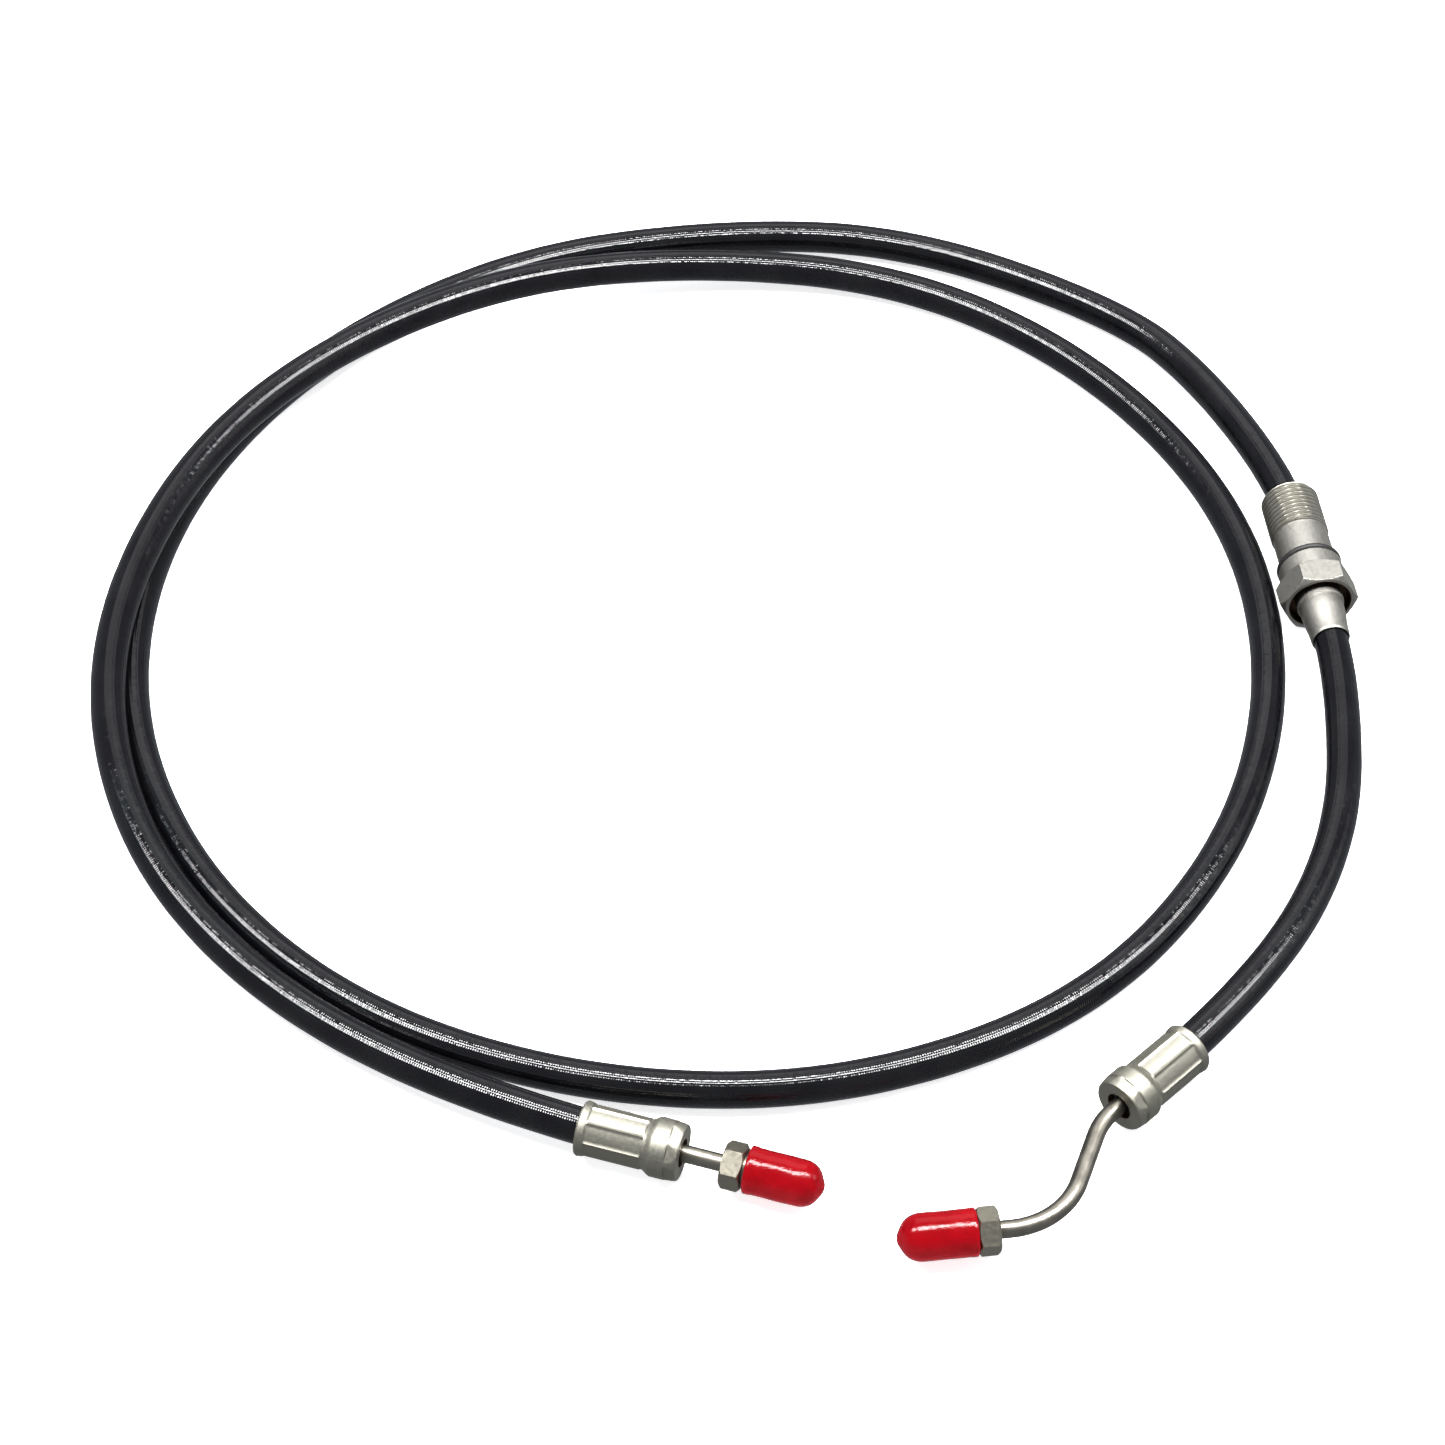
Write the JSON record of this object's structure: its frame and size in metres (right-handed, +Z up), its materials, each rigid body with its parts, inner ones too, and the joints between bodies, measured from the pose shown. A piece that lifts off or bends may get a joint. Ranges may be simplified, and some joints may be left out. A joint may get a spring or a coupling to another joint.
{
  "type": "hydraulic hose assembly",
  "caption": "Black thermoplastic hydraulic hose lying in loose turns, crimped ferrules with capped steel tube nuts at the ends, and a threaded bulkhead fitting along it.",
  "frame": {"origin": "middle of the fittings' bounding box, on the surface that the assembly lies on", "axes": "+Z up, +Y from the capped ends towards the bulkhead's threaded end, +X to the bulkhead's side of the coil"},
  "size_m": [0.466, 0.5088, 0.0288],
  "materials": {
    "hose_cover": "glossy black thermoplastic with the braid showing through as fine ribs",
    "hose_braid": "woven synthetic fibre",
    "hose_core": "smooth extruded liner",
    "ferrule": "satin stainless with crimp marks",
    "stem": "turned stainless",
    "tube": "drawn stainless tube, polished lengthwise",
    "nut": "satin stainless",
    "cap": "glossy red soft vinyl",
    "bulkhead": "satin turned stainless",
    "seal": "satin black rubber",
    "sleeve": "satin stainless, crimped",
    "spring_steel": "dark spring steel"
  },
  "bodies": {
    "hose": {"hose_cover": "hose_cover", "hose_braid": "hose_braid", "hose_core": "hose_core", "straight_ferrule": "ferrule", "straight_stem": "stem", "straight_tube": "tube", "bent_ferrule": "ferrule", "bent_stem": "stem", "bent_tube": "tube", "bulkhead_sleeve": "sleeve", "bulkhead_retaining_ring": "spring_steel"},
    "straight_nut": {"straight_nut": "nut"},
    "straight_cap": {"straight_cap": "cap"},
    "bent_nut": {"bent_nut": "nut"},
    "bent_cap": {"bent_cap": "cap"},
    "bulkhead": {"bulkhead_body": "bulkhead", "bulkhead_o_ring": "seal", "bulkhead_inner_seal": "seal"}
  },
  "joints": [
    {"name": "straight_nut_spin", "type": "hinge", "parent": "hose", "child": "straight_nut", "pos_m": [-0.09405, -0.13436, 0.0101], "axis": [0.9563, -0.2924, 0], "continuous": true},
    {"name": "straight_cap_pull", "type": "slide", "parent": "straight_nut", "child": "straight_cap", "axis": [0.9563, -0.2924, 0], "range_m": [0, 0.018]},
    {"name": "bent_nut_spin", "type": "hinge", "parent": "hose", "child": "bent_nut", "pos_m": [-0.00541, -0.16047, 0.0101], "axis": [-0.9936, -0.1132, 0], "continuous": true},
    {"name": "bent_cap_pull", "type": "slide", "parent": "bent_nut", "child": "bent_cap", "axis": [-0.9936, -0.1132, 0], "range_m": [0, 0.018]},
    {"name": "bulkhead_swivel", "type": "hinge", "parent": "hose", "child": "bulkhead", "pos_m": [0.1209, 0.171, 0.013], "axis": [0.1132, -0.9936, 0], "continuous": true}
  ]
}
